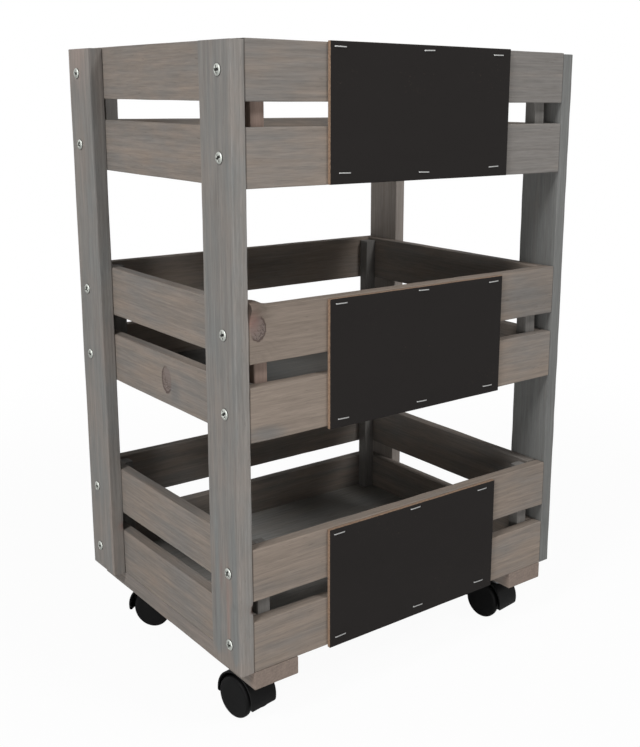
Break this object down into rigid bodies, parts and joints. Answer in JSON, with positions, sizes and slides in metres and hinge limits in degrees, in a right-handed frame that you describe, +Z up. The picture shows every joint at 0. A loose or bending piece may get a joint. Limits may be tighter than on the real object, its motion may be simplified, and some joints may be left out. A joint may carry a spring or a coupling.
{
  "type": "shelf trolley",
  "caption": "Open slatted crates stacked between four corner posts on twin-wheel casters, with a chalkboard on the front of each crate.",
  "frame": {"origin": "on the floor under the middle of the trolley: the bottom centre of its bounding box", "axes": "+Z up, the chalkboards face -Y, +X to the right seen from the front"},
  "size_m": [0.4054, 0.3098, 0.6167],
  "materials": {
    "slat_wood": "pine with a thin grey-brown wash, matt",
    "floor_wood": "thin board with a grey wash, matt",
    "cleat_wood": "pine with a thin grey-brown wash, matt",
    "post_wood": "pine with a bluish grey wash, matt",
    "batten_wood": "pine with a grey-brown wash, matt",
    "chalkboard": "thin hardboard painted matt black, bare brown edges",
    "staple_steel": "bright galvanised wire",
    "screw_steel": "zinc plated, satin",
    "plate_steel": "stamped plate, dark satin",
    "pin_steel": "turned steel",
    "hood_plastic": "moulded black plastic, satin",
    "wheel_plastic": "moulded black plastic, satin"
  },
  "bodies": {
    "frame": {"bottom_front_lower_slat": "slat_wood", "bottom_front_upper_slat": "slat_wood", "bottom_back_lower_slat": "slat_wood", "bottom_back_upper_slat": "slat_wood", "bottom_left_lower_slat": "slat_wood", "bottom_left_upper_slat": "slat_wood", "bottom_right_lower_slat": "slat_wood", "bottom_right_upper_slat": "slat_wood", "middle_front_lower_slat": "slat_wood", "middle_front_upper_slat": "slat_wood", "middle_back_lower_slat": "slat_wood", "middle_back_upper_slat": "slat_wood", "middle_left_lower_slat": "slat_wood", "middle_left_upper_slat": "slat_wood", "middle_right_lower_slat": "slat_wood", "middle_right_upper_slat": "slat_wood", "top_front_lower_slat": "slat_wood", "top_front_upper_slat": "slat_wood", "top_back_lower_slat": "slat_wood", "top_back_upper_slat": "slat_wood", "top_left_lower_slat": "slat_wood", "top_left_upper_slat": "slat_wood", "top_right_lower_slat": "slat_wood", "top_right_upper_slat": "slat_wood", "bottom_floor": "floor_wood", "middle_floor": "floor_wood", "top_floor": "floor_wood", "bottom_cleats": "cleat_wood", "middle_cleats": "cleat_wood", "top_cleats": "cleat_wood", "front_left_post": "post_wood", "front_right_post": "post_wood", "back_left_post": "post_wood", "back_right_post": "post_wood", "left_batten": "batten_wood", "right_batten": "batten_wood", "bottom_chalkboard": "chalkboard", "middle_chalkboard": "chalkboard", "top_chalkboard": "chalkboard", "chalkboard_staples": "staple_steel", "post_screws": "screw_steel", "caster_plates": "plate_steel", "caster_plate_screws": "screw_steel", "caster_kingpins": "pin_steel"},
    "front_left_swivel": {"front_left_caster_housing": "hood_plastic", "front_left_caster_axle": "pin_steel"},
    "front_left_wheel_left": {"front_left_caster_wheel_left": "wheel_plastic"},
    "front_left_wheel_right": {"front_left_caster_wheel_right": "wheel_plastic"},
    "front_right_swivel": {"front_right_caster_housing": "hood_plastic", "front_right_caster_axle": "pin_steel"},
    "front_right_wheel_left": {"front_right_caster_wheel_left": "wheel_plastic"},
    "front_right_wheel_right": {"front_right_caster_wheel_right": "wheel_plastic"},
    "back_left_swivel": {"back_left_caster_housing": "hood_plastic", "back_left_caster_axle": "pin_steel"},
    "back_left_wheel_left": {"back_left_caster_wheel_left": "wheel_plastic"},
    "back_left_wheel_right": {"back_left_caster_wheel_right": "wheel_plastic"},
    "back_right_swivel": {"back_right_caster_housing": "hood_plastic", "back_right_caster_axle": "pin_steel"},
    "back_right_wheel_left": {"back_right_caster_wheel_left": "wheel_plastic"},
    "back_right_wheel_right": {"back_right_caster_wheel_right": "wheel_plastic"}
  },
  "joints": [
    {"name": "front_left_caster_swivel", "type": "hinge", "parent": "frame", "child": "front_left_swivel", "pos_m": [-0.1667, -0.11115, 0.036], "axis": [0, 0, 1], "continuous": true},
    {"name": "front_left_wheel_left_spin", "type": "hinge", "parent": "front_left_swivel", "child": "front_left_wheel_left", "pos_m": [-0.16795, -0.10325, 0.0205], "axis": [-0.9877, -0.1564, 0], "continuous": true},
    {"name": "front_left_wheel_right_spin", "type": "hinge", "parent": "front_left_swivel", "child": "front_left_wheel_right", "pos_m": [-0.16795, -0.10325, 0.0205], "axis": [-0.9877, -0.1564, 0], "continuous": true},
    {"name": "front_right_caster_swivel", "type": "hinge", "parent": "frame", "child": "front_right_swivel", "pos_m": [0.1566, -0.11345, 0.036], "axis": [0, 0, 1], "continuous": true},
    {"name": "front_right_wheel_left_spin", "type": "hinge", "parent": "front_right_swivel", "child": "front_right_wheel_left", "pos_m": [0.15556, -0.10552, 0.0205], "axis": [-0.9914, -0.1305, 0], "continuous": true},
    {"name": "front_right_wheel_right_spin", "type": "hinge", "parent": "front_right_swivel", "child": "front_right_wheel_right", "pos_m": [0.15556, -0.10552, 0.0205], "axis": [-0.9914, -0.1305, 0], "continuous": true},
    {"name": "back_left_caster_swivel", "type": "hinge", "parent": "frame", "child": "back_left_swivel", "pos_m": [-0.1555, 0.11325, 0.036], "axis": [0, 0, 1], "continuous": true},
    {"name": "back_left_wheel_left_spin", "type": "hinge", "parent": "back_left_swivel", "child": "back_left_wheel_left", "pos_m": [-0.1508, 0.10678, 0.0205], "axis": [0.809, 0.5878, 0], "continuous": true},
    {"name": "back_left_wheel_right_spin", "type": "hinge", "parent": "back_left_swivel", "child": "back_left_wheel_right", "pos_m": [-0.1508, 0.10678, 0.0205], "axis": [0.809, 0.5878, 0], "continuous": true},
    {"name": "back_right_caster_swivel", "type": "hinge", "parent": "frame", "child": "back_right_swivel", "pos_m": [0.161, 0.11585, 0.036], "axis": [0, 0, 1], "continuous": true},
    {"name": "back_right_wheel_left_spin", "type": "hinge", "parent": "back_right_swivel", "child": "back_right_wheel_left", "pos_m": [0.16374, 0.10833, 0.0205], "axis": [0.9397, 0.342, 0], "continuous": true},
    {"name": "back_right_wheel_right_spin", "type": "hinge", "parent": "back_right_swivel", "child": "back_right_wheel_right", "pos_m": [0.16374, 0.10833, 0.0205], "axis": [0.9397, 0.342, 0], "continuous": true}
  ]
}
